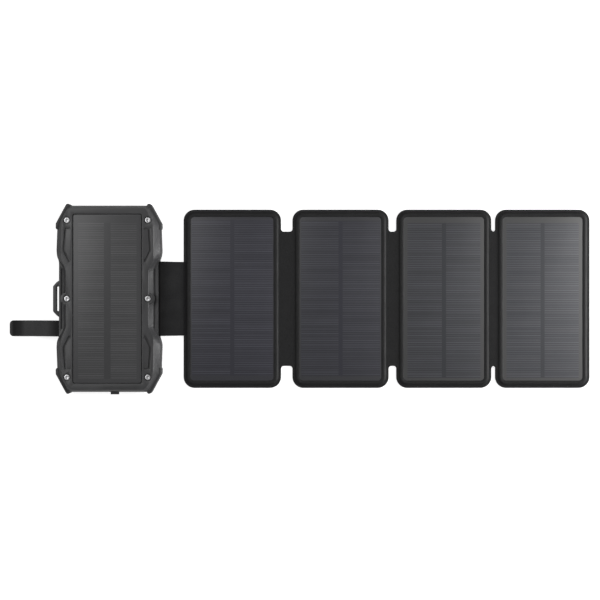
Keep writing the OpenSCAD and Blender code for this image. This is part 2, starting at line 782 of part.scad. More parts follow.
module snap_socket() {
    color([0.7, 0.7, 0.72]) translate([snap_x, strap_y, 0]) difference() {
        cylinder(d = snap_d, h = socket_h);
        translate([0, 0, -cut]) cylinder(d = stud_pin_d + 0.4, h = socket_h + 2 * cut);
    }
}

module strap_root() {
    color([0.13, 0.13, 0.13]) translate([strap_x, strap_y, parting_z]) rotate([0, 180 - strap_slope, 0])
        rotate([90, 0, 0]) linear_extrude(strap_w, center = true) {
            translate([0, -strap_t / 2]) square([strap_l - strap_t / 2 - crease_gap, strap_t]);
            circle(d = strap_t);
        }
}

module strap_tip() {
    tip_r = 3;
    color([0.13, 0.13, 0.13]) translate([strap_crease_x, strap_y, strap_rest_z]) {
        rotate([90, 0, 0]) linear_extrude(strap_w, center = true) circle(d = strap_t);
        translate([0, 0, -strap_t / 2]) linear_extrude(strap_t) {
            translate([-tip_l + tip_r, -strap_w / 2]) square([tip_l - tip_r, strap_w]);
            translate([-tip_l, -strap_w / 2 + tip_r]) square([tip_r, strap_w - 2 * tip_r]);
            for (s = [-1, 1]) translate([-tip_l + tip_r, s * (strap_w / 2 - tip_r)]) circle(tip_r);
        }
    }
}

module snap_stud() {
    color([0.7, 0.7, 0.72]) translate([strap_crease_x - snap_reach, strap_y, 0]) {
        translate([0, 0, stud_pin]) cylinder(d = snap_d, h = stud_plate);
        cylinder(d = stud_pin_d, h = stud_pin);
    }
}

rear_shell();
front_frame();
corner_bumpers();
lanyard_lug();
shell_gasket();
face_screws();
threaded_inserts();
bank_solar_laminate();
laminate_adhesive();
battery_cells();
battery_pads();
battery_leads();
main_board();
power_components();
usb_a_sockets();
usb_c_socket();
control_board();
tact_switch();
indicator_leds();
light_pipe();
torch_lens();
torch_led();
ribbon_tail();
strap_tail();
power_button();
port_cover();
ribbon();
ribbon_lead();
panel_back_skin(0);  // panel_1_back_skin
panel_stiffener(0);  // panel_1_stiffener
panel_laminate(0);  // panel_1_laminate
panel_front_skin(0);  // panel_1_front_skin
panel_web(web_12_x, web_12_w);  // web_12
panel_web_lead(web_12_x, web_12_w);  // web_12_lead
panel_back_skin(1);  // panel_2_back_skin
panel_stiffener(1);  // panel_2_stiffener
panel_laminate(1);  // panel_2_laminate
panel_front_skin(1);  // panel_2_front_skin
panel_web(web_23_x, web_23_w);  // web_23
panel_web_lead(web_23_x, web_23_w);  // web_23_lead
panel_back_skin(2);  // panel_3_back_skin
panel_stiffener(2);  // panel_3_stiffener
panel_laminate(2);  // panel_3_laminate
panel_front_skin(2);  // panel_3_front_skin
panel_web(web_34_x, web_34_w);  // web_34
panel_web_lead(web_34_x, web_34_w);  // web_34_lead
panel_back_skin(3);  // panel_4_back_skin
panel_stiffener(3);  // panel_4_stiffener
panel_laminate(3);  // panel_4_laminate
panel_front_skin(3);  // panel_4_front_skin
snap_socket();
strap_root();
strap_tip();
snap_stud();
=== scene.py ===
import json
import math
import bpy
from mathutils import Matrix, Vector, noise


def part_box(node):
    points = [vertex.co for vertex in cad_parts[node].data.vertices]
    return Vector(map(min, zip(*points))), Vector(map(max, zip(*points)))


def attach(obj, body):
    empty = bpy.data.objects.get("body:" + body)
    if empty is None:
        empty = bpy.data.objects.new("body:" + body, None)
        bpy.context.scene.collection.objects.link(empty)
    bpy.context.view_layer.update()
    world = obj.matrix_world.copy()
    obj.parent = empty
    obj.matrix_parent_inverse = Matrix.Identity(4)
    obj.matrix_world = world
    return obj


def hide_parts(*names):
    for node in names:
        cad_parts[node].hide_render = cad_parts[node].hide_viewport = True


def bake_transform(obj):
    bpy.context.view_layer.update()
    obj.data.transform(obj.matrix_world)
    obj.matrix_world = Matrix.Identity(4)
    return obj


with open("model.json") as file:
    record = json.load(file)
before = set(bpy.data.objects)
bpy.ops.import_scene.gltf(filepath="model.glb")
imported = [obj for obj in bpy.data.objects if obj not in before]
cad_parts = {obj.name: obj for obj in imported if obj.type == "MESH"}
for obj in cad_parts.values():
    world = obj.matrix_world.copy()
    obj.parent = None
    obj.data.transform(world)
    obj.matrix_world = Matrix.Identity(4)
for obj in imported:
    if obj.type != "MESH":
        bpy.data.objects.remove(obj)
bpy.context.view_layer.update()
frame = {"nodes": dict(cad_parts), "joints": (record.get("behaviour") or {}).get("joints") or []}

mm = 0.001
bankLow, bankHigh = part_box("front_frame")
bankHalfWidth, bankHalfLength, bankTop = bankHigh.x, bankHigh.y, bankHigh.z
joints = {joint["name"]: joint for joint in frame["joints"]}


def jointPlace(name):
    return Vector(joints[name]["pos_m"])


def deselectAll():
    if bpy.context.object and bpy.context.object.mode != "OBJECT":
        bpy.ops.object.mode_set(mode="OBJECT")
    bpy.ops.object.select_all(action="DESELECT")


def makeActive(piece):
    deselectAll()
    piece.select_set(True)
    bpy.context.view_layer.objects.active = piece


def applyModifiers(piece):
    makeActive(piece)
    for modifier in list(piece.modifiers):
        bpy.ops.object.modifier_apply(modifier=modifier.name)


def inEditMode(piece, kind="FACE"):
    bpy.context.view_layer.objects.active = piece
    bpy.ops.object.mode_set(mode="EDIT")
    bpy.ops.mesh.select_mode(type=kind)


def cleanNormals(piece):
    makeActive(piece)
    bpy.ops.object.mode_set(mode="EDIT")
    bpy.ops.mesh.select_all(action="SELECT")
    bpy.ops.mesh.remove_doubles(threshold=0.002 * mm)
    bpy.ops.mesh.normals_make_consistent(inside=False)
    bpy.ops.object.mode_set(mode="OBJECT")


def smoothByAngle(piece, degrees=35):
    makeActive(piece)
    bpy.ops.object.shade_smooth_by_angle(angle=math.radians(degrees))


def bevelEdges(piece, width, segments=2, degrees=30):
    bevel = piece.modifiers.new("roundedEdges", "BEVEL")
    bevel.width = width
    bevel.segments = segments
    bevel.limit_method = "ANGLE"
    bevel.angle_limit = math.radians(degrees)
    applyModifiers(piece)


def cutAway(piece, cutters):
    for cutter in cutters:
        difference = piece.modifiers.new("cut", "BOOLEAN")
        difference.operation = "DIFFERENCE"
        difference.solver = "EXACT"
        difference.object = cutter
        applyModifiers(piece)
        bpy.data.objects.remove(cutter)


# A flat outline made from a circle whose vertices are moved to their places
def outlinePiece(name, points, height):
    deselectAll()
    bpy.ops.mesh.primitive_circle_add(vertices=len(points), radius=10 * mm, fill_type="NGON")
    piece = bpy.context.object
    piece.name = name
    for vertex, (x, y) in zip(piece.data.vertices, points):
        vertex.co = (x, y, height)
    return piece


# Extrudes the face that was made last and moves each corner from its old place to its new one
def extrudeTo(piece, oldPoints, points, height):
    inEditMode(piece)
    bpy.ops.mesh.extrude_region_move(TRANSFORM_OT_translate={"value": (0, 0, 0.1 * mm)})
    bpy.ops.object.mode_set(mode="OBJECT")
    for vertex in piece.data.vertices:
        if vertex.select:
            place = min(range(len(points)), key=lambda k: math.dist(oldPoints[k], vertex.co.xy))
            vertex.co = (*points[place], height)


def stackedPiece(name, levels):
    piece = outlinePiece(name, levels[0][1], levels[0][0])
    for (_, oldPoints), (height, points) in zip(levels, levels[1:]):
        extrudeTo(piece, oldPoints, points, height)
    cleanNormals(piece)
    return piece


def boxPiece(name, low, high):
    low, high = Vector(low), Vector(high)
    deselectAll()
    bpy.ops.mesh.primitive_cube_add(size=1, location=(low + high) / 2, scale=high - low)
    piece = bpy.context.object
    piece.name = name
    bpy.ops.object.transform_apply(location=True, rotation=True, scale=True)
    return piece


def rodPiece(name, centre, radius, depth, vertices=48):
    deselectAll()
    bpy.ops.mesh.primitive_cylinder_add(
        vertices=vertices, radius=radius, depth=depth, location=centre)
    piece = bpy.context.object
    piece.name = name
    bpy.ops.object.transform_apply(location=True, rotation=True, scale=True)
    return piece


# Rounds each corner of an outline over its own distance along both sides
def roundedOutline(corners, steps=5):
    points = []
    for index, (x, y, reach) in enumerate(corners):
        corner = Vector((x, y))
        before = Vector(corners[index - 1][:2])
        after = Vector(corners[(index + 1) % len(corners)][:2])
        start = corner + (before - corner).normalized() * reach
        end = corner + (after - corner).normalized() * reach
        for step in range(steps + 1):
            t = step / steps
            point = start * (1 - t) ** 2 + corner * 2 * t * (1 - t) + end * t ** 2
            points.append((point.x, point.y))
    return points


def fourQuarters(quarter):
    backwards = quarter[::-1]
    return (quarter + [(-x, y, r) for x, y, r in backwards]
            + [(-x, -y, r) for x, y, r in quarter] + [(x, -y, r) for x, y, r in backwards])


def insetQuarter(quarter, distance):
    return [(x - distance, y - distance, r) for x, y, r in quarter]


def bankOutline(quarter):
    return roundedOutline(fourQuarters(quarter))


# Hands a finished piece over: material, body, and the CAD nodes that it stands for
def handOver(piece, name, material, body, replaced, ride=True):
    piece.name = name
    piece.data.materials.clear()
    piece.data.materials.append(material)
    if ride:
        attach(piece, body)
    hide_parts(*replaced)


# A loose copy of a CAD part, which rides on nothing yet
def cadCopy(node):
    source = frame["nodes"][node]
    piece = source.copy()
    piece.data = source.data.copy()
    for key in list(piece.keys()):
        del piece[key]
    piece.parent = None
    bpy.context.scene.collection.objects.link(piece)
    cleanNormals(piece)
    return piece


def newGroup(name, inputs, outputs):
    group = bpy.data.node_groups.new(name, "ShaderNodeTree")
    for socketName, kind, value in inputs:
        socket = group.interface.new_socket(name=socketName, in_out="INPUT", socket_type=kind)
        if value is not None:
            socket.default_value = value
    for socketName, kind in outputs:
        group.interface.new_socket(name=socketName, in_out="OUTPUT", socket_type=kind)
    return group, group.nodes.new("NodeGroupInput"), group.nodes.new("NodeGroupOutput")


def mathNode(tree, operation, first, second=None, third=None):
    node = tree.nodes.new("ShaderNodeMath")
    node.operation = operation
    for index, value in enumerate((first, second, third)):
        if value is None:
            continue
        if isinstance(value, (int, float)):
            node.inputs[index].default_value = value
        else:
            tree.links.new(value, node.inputs[index])
    return node.outputs[0]


def noiseNode(tree, vector, scale, detail=4, roughness=0.5):
    node = tree.nodes.new("ShaderNodeTexNoise")
    node.inputs["Scale"].default_value = scale
    node.inputs["Detail"].default_value = detail
    node.inputs["Roughness"].default_value = roughness
    tree.links.new(vector, node.inputs["Vector"])
    return node.outputs["Fac"]


# Fine spark texture of a moulded part: a height for the bump and a slow patchiness
def makeMouldedGrain():
    group, entry, result = newGroup(
        "mouldedGrain",
        [("Vector", "NodeSocketVector", None), ("Grain Scale", "NodeSocketFloat", 1800.0),
         ("Patch Scale", "NodeSocketFloat", 60.0)],
        [("Height", "NodeSocketFloat"), ("Patch", "NodeSocketFloat")])
    for scaleName, target, detail in (("Grain Scale", "Height", 2), ("Patch Scale", "Patch", 5)):
        node = group.nodes.new("ShaderNodeTexNoise")
        node.inputs["Detail"].default_value = detail
        group.links.new(entry.outputs["Vector"], node.inputs["Vector"])
        group.links.new(entry.outputs[scaleName], node.inputs["Scale"])
        group.links.new(node.outputs["Fac"], result.inputs[target])
    return group


# Pebbled leatherette: cells of about half a millimetre with soft valleys, and faint long creases
def makeLeatherGrain():
    group, entry, result = newGroup(
        "leatherGrain",
        [("Vector", "NodeSocketVector", None), ("Pebble Scale", "NodeSocketFloat", 1400.0),
         ("Crease Scale", "NodeSocketFloat", 90.0)],
        [("Height", "NodeSocketFloat"), ("Valley", "NodeSocketFloat"), ("Patch", "NodeSocketFloat")])
    wander = group.nodes.new("ShaderNodeTexNoise")
    wander.inputs["Scale"].default_value = 700
    group.links.new(entry.outputs["Vector"], wander.inputs["Vector"])
    spread = group.nodes.new("ShaderNodeVectorMath")
    spread.operation = "MULTIPLY_ADD"
    spread.inputs[1].default_value = (0.0006,) * 3
    group.links.new(wander.outputs["Color"], spread.inputs[0])
    group.links.new(entry.outputs["Vector"], spread.inputs[2])
    pebbles = group.nodes.new("ShaderNodeTexVoronoi")
    pebbles.feature = "DISTANCE_TO_EDGE"
    group.links.new(spread.outputs[0], pebbles.inputs["Vector"])
    group.links.new(entry.outputs["Pebble Scale"], pebbles.inputs["Scale"])
    valley = group.nodes.new("ShaderNodeMapRange")
    valley.interpolation_type = "SMOOTHSTEP"
    valley.inputs["From Max"].default_value = 0.22
    group.links.new(pebbles.outputs["Distance"], valley.inputs["Value"])
    crease = group.nodes.new("ShaderNodeTexNoise")
    crease.inputs["Detail"].default_value = 6
    group.links.new(entry.outputs["Vector"], crease.inputs["Vector"])
    group.links.new(entry.outputs["Crease Scale"], crease.inputs["Scale"])
    height = mathNode(group, "MULTIPLY_ADD", crease.outputs["Fac"], 0.8, valley.outputs["Result"])
    group.links.new(height, result.inputs["Height"])
    group.links.new(valley.outputs["Result"], result.inputs["Valley"])
    group.links.new(crease.outputs["Fac"], result.inputs["Patch"])
    return group


# Printed finger lines in two columns of cells, with a plain stripe between the columns
def makeCellPrint():
    group, entry, result = newGroup(
        "cellPrint",
        [("Vector", "NodeSocketVector", None), ("Pitch", "NodeSocketFloat", 1.85 * mm),
         ("Line Share", "NodeSocketFloat", 0.3), ("Stripe Half", "NodeSocketFloat", 2.6 * mm),
         ("Column Half", "NodeSocketFloat", 30 * mm), ("Row Half", "NodeSocketFloat", 66 * mm),
         ("Strip Pitch", "NodeSocketFloat", 12 * mm)],
        [("Fingers", "NodeSocketFloat"), ("Cells", "NodeSocketFloat"), ("Stripe", "NodeSocketFloat"),
         ("Tone", "NodeSocketFloat")])
    split = group.nodes.new("ShaderNodeSeparateXYZ")
    group.links.new(entry.outputs["Vector"], split.inputs[0])
    across = mathNode(group, "ABSOLUTE", split.outputs["X"])
    along = mathNode(group, "ABSOLUTE", split.outputs["Y"])
    phase = mathNode(group, "FRACT", mathNode(group, "DIVIDE", split.outputs["Y"], entry.outputs["Pitch"]))
    offCentre = mathNode(group, "ABSOLUTE", mathNode(group, "SUBTRACT", phase, 0.5))
    lineHalf = mathNode(group, "MULTIPLY", entry.outputs["Line Share"], 0.5)
    line = mathNode(group, "LESS_THAN", offCentre, lineHalf)
    inColumns = mathNode(group, "MULTIPLY",
                         mathNode(group, "GREATER_THAN", across, entry.outputs["Stripe Half"]),
                         mathNode(group, "LESS_THAN", across, entry.outputs["Column Half"]))
    inRows = mathNode(group, "LESS_THAN", along, entry.outputs["Row Half"])
    cells = mathNode(group, "MULTIPLY", inColumns, inRows)
    group.links.new(cells, result.inputs["Cells"])
    middle = mathNode(group, "LESS_THAN", across, entry.outputs["Stripe Half"])
    group.links.new(mathNode(group, "MULTIPLY", middle, inRows), result.inputs["Stripe"])
    # each strip of cell has its own faint tone, and so has each finger
    strip, finger = (
        mathNode(group, "FLOOR", mathNode(group, "DIVIDE", split.outputs["Y"], entry.outputs[pitchName]))
        for pitchName in ("Strip Pitch", "Pitch"))
    side = mathNode(group, "SIGN", split.outputs["X"])
    stretch = group.nodes.new("ShaderNodeMapping")
    stretch.inputs["Scale"].default_value = (0.25, 1, 1)
    group.links.new(entry.outputs["Vector"], stretch.inputs["Vector"])
    fading = noiseNode(group, stretch.outputs["Vector"], 110, 3, 0.6)
    tones = []
    for source, factor in ((strip, 7.31), (finger, 3.17)):
        mixed = mathNode(group, "ADD", mathNode(group, "MULTIPLY", source, factor),
                         mathNode(group, "MULTIPLY", side, 0.37))
        white = group.nodes.new("ShaderNodeTexWhiteNoise")
        white.noise_dimensions = "1D"
        group.links.new(mixed, white.inputs["W"])
        tones.append(white.outputs["Value"])
    tone = mathNode(group, "MULTIPLY_ADD", tones[0], 0.35, mathNode(group, "MULTIPLY", tones[1], 0.65))
    group.links.new(tone, result.inputs["Tone"])
    strength = mathNode(group, "MULTIPLY_ADD", tones[1], 0.5, mathNode(group, "MULTIPLY", fading, 0.9))
    shown = mathNode(group, "MULTIPLY", mathNode(group, "MULTIPLY", line, cells), strength)
    group.links.new(shown, result.inputs["Fingers"])
    return group


mouldedGrain = makeMouldedGrain()
leatherGrain = makeLeatherGrain()
cellPrint = makeCellPrint()


def newMaterial(name):
    material = bpy.data.materials.new(name)
    material.use_nodes = True
    tree = material.node_tree
    shader = tree.nodes["Principled BSDF"]
    place = tree.nodes.new("ShaderNodeTexCoord").outputs["Object"]
    return material, tree, shader, place


def useGroup(tree, group, vector, values):
    node = tree.nodes.new("ShaderNodeGroup")
    node.node_tree = group
    tree.links.new(vector, node.inputs["Vector"])
    for key, value in values.items():
        node.inputs[key].default_value = value
    return node


def colourRamp(tree, factor, stops):
    ramp = tree.nodes.new("ShaderNodeValToRGB")
    while len(ramp.color_ramp.elements) < len(stops):
        ramp.color_ramp.elements.new(0.5)
    for element, (place, colour) in zip(ramp.color_ramp.elements, stops):
        element.position = place
        element.color = (*colour, 1)
    tree.links.new(factor, ramp.inputs["Fac"])
    return ramp.outputs["Color"]


def addBump(tree, shader, height, strength, distance):
    bump = tree.nodes.new("ShaderNodeBump")
    bump.inputs["Strength"].default_value = strength
    bump.inputs["Distance"].default_value = distance
    tree.links.new(height, bump.inputs["Height"])
    tree.links.new(bump.outputs["Normal"], shader.inputs["Normal"])


def mapValue(tree, value, low, high):
    node = tree.nodes.new("ShaderNodeMapRange")
    node.inputs["From Min"].default_value = 0.3
    node.inputs["From Max"].default_value = 0.7
    node.inputs["To Min"].default_value = low
    node.inputs["To Max"].default_value = high
    tree.links.new(value, node.inputs["Value"])
    return node.outputs["Result"]


def mouldedMaterial(name, dark, light, roughness, grainScale=1800.0, bump=0.25):
    material, tree, shader, place = newMaterial(name)
    grain = useGroup(tree, mouldedGrain, place, {"Grain Scale": grainScale})
    tree.links.new(colourRamp(tree, grain.outputs["Patch"], [(0.3, dark), (0.7, light)]),
                   shader.inputs["Base Color"])
    tree.links.new(mapValue(tree, grain.outputs["Patch"], roughness - 0.05, roughness + 0.07),
                   shader.inputs["Roughness"])
    addBump(tree, shader, grain.outputs["Height"], bump, 0.05 * mm)
    return material


# These stops darken or lighten a strip from one end of its UV map to the other: painted shade and painted
# light along the strip.
def leatherMaterial(name, valleyColour, pebbleColour, roughness=0.55, specular=0.2, paintedLightAndShadeStops=None):
    material, tree, shader, place = newMaterial(name)
    grain = useGroup(tree, leatherGrain, place, {})
    colour = colourRamp(tree, grain.outputs["Valley"], [(0.0, valleyColour), (0.8, pebbleColour)])
    if paintedLightAndShadeStops:
        split = tree.nodes.new("ShaderNodeSeparateXYZ")
        tree.links.new(tree.nodes["Texture Coordinate"].outputs["UV"], split.inputs[0])
        tone = colourRamp(tree, split.outputs["X"], [(at, (level,) * 3) for at, level in paintedLightAndShadeStops])
        mix = tree.nodes.new("ShaderNodeMix")
        mix.data_type = "RGBA"
        mix.blend_type = "MULTIPLY"
        mix.inputs["Factor"].default_value = 1
        tree.links.new(colour, mix.inputs["A"])
        tree.links.new(tone, mix.inputs["B"])
        colour = mix.outputs["Result"]
    tree.links.new(colour, shader.inputs["Base Color"])
    tree.links.new(mapValue(tree, grain.outputs["Patch"], roughness - 0.06, roughness + 0.08),
                   shader.inputs["Roughness"])
    shader.inputs["Specular IOR Level"].default_value = specular
    addBump(tree, shader, grain.outputs["Height"], 0.45, 0.06 * mm)
    return material


def metalMaterial(name, colour, roughness):
    material, tree, shader, place = newMaterial(name)
    stretch = tree.nodes.new("ShaderNodeMapping")
    stretch.inputs["Scale"].default_value = (1, 1, 12)
    tree.links.new(place, stretch.inputs["Vector"])
    scratches = noiseNode(tree, stretch.outputs["Vector"], 900, 5)
    darker = tuple(channel * 0.8 for channel in colour)
    tree.links.new(colourRamp(tree, scratches, [(0.3, darker), (0.7, colour)]), shader.inputs["Base Color"])
    tree.links.new(mapValue(tree, scratches, roughness - 0.06, roughness + 0.1), shader.inputs["Roughness"])
    shader.inputs["Metallic"].default_value = 1
    addBump(tree, shader, scratches, 0.15, 0.02 * mm)
    return material


def solarMaterial(name, centreX, settings):
    material, tree, shader, place = newMaterial(name)
    centre = tree.nodes.new("ShaderNodeMapping")
    centre.inputs["Location"].default_value = (-centreX, -settings["shift"], 0)
    tree.links.new(place, centre.inputs["Vector"])
    vector = centre.outputs["Vector"]
    cells = useGroup(tree, cellPrint, vector, {
        "Pitch": settings["pitch"], "Line Share": settings["lineShare"],
        "Stripe Half": settings["stripe"] / 2, "Column Half": settings["columns"] / 2,
        "Row Half": settings["rows"] / 2, "Strip Pitch": settings["pitch"] * 7})
    cloudy = noiseNode(tree, vector, 45, 5, 0.6)
    toned = mathNode(tree, "MULTIPLY_ADD", cells.outputs["Tone"], 0.5,
                     mathNode(tree, "MULTIPLY", cloudy, 0.6))
    silicon = colourRamp(tree, toned, [(0.2, settings["dark"]), (0.85, settings["light"])])
    layers = silicon
    for mask, colour in (("Fingers", settings["finger"]), ("Stripe", settings["stripeColour"])):
        mix = tree.nodes.new("ShaderNodeMix")
        mix.data_type = "RGBA"
        tree.links.new(cells.outputs[mask], mix.inputs["Factor"])
        tree.links.new(layers, mix.inputs["A"])
        mix.inputs["B"].default_value = (*colour, 1)
        layers = mix.outputs["Result"]
    inside = mathNode(tree, "MAXIMUM", cells.outputs["Cells"], cells.outputs["Stripe"])
    margin = tree.nodes.new("ShaderNodeMix")
    margin.data_type = "RGBA"
    tree.links.new(inside, margin.inputs["Factor"])
    margin.inputs["A"].default_value = (*settings["margin"], 1)
    tree.links.new(layers, margin.inputs["B"])
    tree.links.new(margin.outputs["Result"], shader.inputs["Base Color"])
    orange = noiseNode(tree, vector, 1500, 2)
    tree.links.new(mapValue(tree, orange, settings["roughness"] - 0.01, settings["roughness"] + 0.015),
                   shader.inputs["Roughness"])
    height = mathNode(tree, "MULTIPLY_ADD", cells.outputs["Fingers"], 0.6, orange)
    addBump(tree, shader, height, 0.3, 0.03 * mm)
    shader.inputs["Specular IOR Level"].default_value = 0.6
    return material


def clearMaterial(name, colour):
    material, tree, shader, place = newMaterial(name)
    haze = noiseNode(tree, place, 400, 3)
    tree.links.new(mapValue(tree, haze, 0.08, 0.2), shader.inputs["Roughness"])
    shader.inputs["Base Color"].default_value = (*colour, 1)
    shader.inputs["Transmission Weight"].default_value = 0.85
    return material


casePlastic = mouldedMaterial("casePlastic", (0.036, 0.036, 0.037), (0.048, 0.048, 0.05), 0.38)
bumperRubber = mouldedMaterial("bumperRubber", (0.026, 0.026, 0.027), (0.036, 0.036, 0.037),
                               0.5, 1300.0, 0.35)
coverSilicone = mouldedMaterial("coverSilicone", (0.016, 0.016, 0.017), (0.024, 0.024, 0.025),
                                0.5, 1100.0, 0.3)
lugCoating = mouldedMaterial("lugCoating", (0.04, 0.04, 0.041), (0.056, 0.056, 0.057), 0.42, 1500.0, 0.2)
boardStock = mouldedMaterial("boardStock", (0.55, 0.55, 0.53), (0.65, 0.65, 0.62), 0.6, 900.0, 0.2)
partPlastic = mouldedMaterial("partPlastic", (0.02, 0.02, 0.022), (0.032, 0.032, 0.035), 0.45)
solderMask = mouldedMaterial("solderMask", (0.02, 0.13, 0.05), (0.03, 0.17, 0.07), 0.3, 700.0, 0.1)
padFoam = mouldedMaterial("padFoam", (0.06, 0.06, 0.06), (0.1, 0.1, 0.1), 0.85, 900.0, 0.8)
leather = leatherMaterial("leatherette", (0.009, 0.009, 0.0093), (0.019, 0.019, 0.0196))
darkLeather = leatherMaterial("darkLeatherette", (0.004, 0.004, 0.0043), (0.008, 0.008, 0.0086),
                              0.72, 0.12)
ribbonLook = {"valleyColour": (0.006, 0.006, 0.0064), "pebbleColour": (0.013, 0.013, 0.0137),
              "roughness": 0.7, "specular": 0.12}
strapLook = {"valleyColour": (0.045, 0.045, 0.0455), "pebbleColour": (0.07, 0.07, 0.071),
             "roughness": 0.6, "specular": 0.2}
# Painted shade on the ribbon: darkest where it leaves the bank, in the bank's shade, and lighter towards
# panel 1.
ribbonNearPaintedShadeLeather = leatherMaterial("ribbonLeatherNearPaintedShade", **ribbonLook,
                                    paintedLightAndShadeStops=[(0.0, 0.2), (0.35, 0.35), (1.0, 0.75)])
ribbonFarPaintedShadeLeather = leatherMaterial("ribbonLeatherFarPaintedShade", **ribbonLook,
                                   paintedLightAndShadeStops=[(0.0, 0.75), (0.6, 1.0), (1.0, 1.0)])
# Painted shade and light on the strap: dark at its root beside the bank, light over its middle, a dark band
# near the tip that stands for the shade of a bend, and a lighter rounded tip.
strapRootPaintedShadeLeather = leatherMaterial(
    "strapLeatherRootPaintedShade", **strapLook,
    paintedLightAndShadeStops=[(0.0, 0.15), (0.3, 0.2), (0.5, 0.45), (0.85, 0.95), (1.0, 1.0)])
strapTipPaintedLightLeather = leatherMaterial(
    "strapLeatherTipPaintedLight", **strapLook,
    paintedLightAndShadeStops=[(0.0, 1.0), (0.56, 0.9), (0.68, 0.35), (0.85, 0.16), (0.9, 0.16), (0.94, 0.7), (1.0, 0.6)])
screwSteel = metalMaterial("screwSteel", (0.68, 0.68, 0.69), 0.4)
snapPlate = metalMaterial("snapPlate", (0.62, 0.62, 0.64), 0.22)
socketSteel = metalMaterial("socketSteel", (0.66, 0.66, 0.68), 0.3)
insertBrass = metalMaterial("insertBrass", (0.78, 0.58, 0.26), 0.3)
leadCopper = metalMaterial("leadCopper", (0.75, 0.42, 0.2), 0.35)
tabNickel = metalMaterial("tabNickel", (0.68, 0.66, 0.6), 0.35)
pouchFoil = metalMaterial("pouchFoil", (0.6, 0.62, 0.66), 0.4)
clearPlastic = clearMaterial("clearPlastic", (0.93, 0.95, 0.97))
print("materials made")

caseShape = {
    "hollowDepth": 2.1 * mm, "hollowHalf": 30.75 * mm, "shoulder": 15 * mm, "edge": 0.35 * mm,
    "screwX": 32.5 * mm, "screwY": 63.1 * mm, "counterbore": 2.9 * mm, "headSeat": 19.4 * mm,
    "wall": 2.4 * mm, "ceiling": 18.2 * mm, "pocketDepth": 1.2 * mm, "windowGap": 0.55 * mm,
    "windowSeat": 19.3 * mm, "windowCorner": 2 * mm, "bossRadius": 5 * mm, "shankHole": 1.45 * mm,
    "ledge": 1.6 * mm, "waist": 33 * mm, "grooveDepth": 0.8 * mm, "endWall": 2.5 * mm,
}
partingHeight = bankLow.z
hollowX = bankHalfWidth - caseShape["hollowDepth"]
hollowY = caseShape["hollowHalf"]
w, l = bankHalfWidth, bankHalfLength
outerQuarter = [
    (hollowX, hollowY, 3 * mm), (w, hollowY + 5.5 * mm, 3.5 * mm), (w - 0.9 * mm, l - 14.5 * mm, 3 * mm),
    (w - 8.6 * mm, l - 0.7 * mm, 1.2 * mm), (w - 11.2 * mm, l, 1.2 * mm)]
footX = (caseShape["screwX"] + hollowX) / 2    # foot of the slope in the middle of each side
shoulderQuarter = [
    (footX, hollowY - 6 * mm, 3 * mm), (w - 0.3 * mm, hollowY + 3 * mm, 3.5 * mm),
    (w - 1.1 * mm, l - 14.6 * mm, 3 * mm), (w - 8.8 * mm, l - 0.9 * mm, 1.2 * mm),
    (w - 11.3 * mm, l - 0.2 * mm, 1.2 * mm)]
plateauQuarter = [
    (caseShape["screwX"] + 0.8 * mm, hollowY - 7.3 * mm, 3 * mm),
    (w - 4.6 * mm, hollowY + 1.5 * mm, 3.5 * mm),
    (w - 5.2 * mm, l - 14.6 * mm, 3 * mm), (w - 10.6 * mm, l - 3.6 * mm, 1 * mm),
    (w - 13 * mm, l - 2 * mm, 1 * mm)]
laminateLow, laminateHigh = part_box("bank_solar_laminate")
windowX = laminateHigh.x + caseShape["windowGap"]
windowY = laminateHigh.y + caseShape["windowGap"]
screwPlaces = [(sx * caseShape["screwX"], sy * caseShape["screwY"]) for sx in (-1, 1) for sy in (-1, 0, 1)]


# The room inside is full width up to the shoulder and waisted above it
def roomCutters():
    side, end = hollowX - caseShape["wall"], l - caseShape["endWall"]
    ease = 0.5 * mm
    wide = bankOutline([(side, l - 19 * mm, ease), (27 * mm, end, ease)])
    waisted = bankOutline([(caseShape["waist"], hollowY - 8 * mm, ease), (side, hollowY + 4 * mm, ease),
                           (side, l - 19 * mm, ease), (27 * mm, end, ease)])
    floor = partingHeight - mm
    return [stackedPiece("wideRoom", [(floor, wide), (caseShape["shoulder"] - caseShape["ledge"], wide)]),
            stackedPiece("waistedRoom", [(floor, waisted), (caseShape["ceiling"], waisted)])]


# A shadowed groove runs along the foot of the slope, on each side of the middle screw
def grooveCutters():
    made = []
    low, high = footX + 0.1 * mm, (footX + hollowX) / 2
    reach = hollowY - 6.5 * mm
    for sx in (-1, 1):
        corners = [(high, reach, 0.7 * mm), (low, reach, 0.9 * mm),
                   (low, -reach, 0.9 * mm), (high, -reach, 0.7 * mm)]
        outline = [(sx * x, y) for x, y in roundedOutline(corners)]
        made.append(stackedPiece("groove", [(caseShape["shoulder"] - caseShape["grooveDepth"], outline),
                                            (caseShape["shoulder"] + mm, outline)]))
    return made


def portCutters():
    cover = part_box("port_cover")
    gap = 0.12 * mm
    recess = boxPiece("recess", (cover[0].x - gap, -l - 2 * mm, cover[0].z - gap),
                      (cover[1].x + gap, -l + 1.3 * mm, cover[1].z + gap))
    usbA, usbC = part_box("usb_a_sockets"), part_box("usb_c_socket")
    socketWide = 13.2 * mm
    cutters = [recess]
    for left in (usbA[0].x, usbA[1].x - socketWide):
        cutters.append(boxPiece("socketHole", (left - gap, -l - mm, usbA[0].z - gap),
                                (left + socketWide + gap, -l + 5 * mm, usbA[1].z + gap)))
    cutters.append(boxPiece("socketHole", (usbC[0].x - gap, -l - mm, usbC[0].z - gap),
                            (usbC[1].x + gap, -l + 5 * mm, usbC[1].z + gap)))
    return cutters


def slotCutters():
    made = []
    for node, side in (("ribbon_tail", 1), ("strap_tail", -1)):
        low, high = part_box(node)
        half = 0.6 * mm if side > 0 else 0.7 * mm
        xs = sorted((side * (hollowX - 4 * mm), side * w))
        made.append(boxPiece("fabricSlot", (xs[0], low.y - 0.1 * mm, partingHeight - half),
                             (xs[1], high.y + 0.1 * mm, partingHeight + half)))
    return made


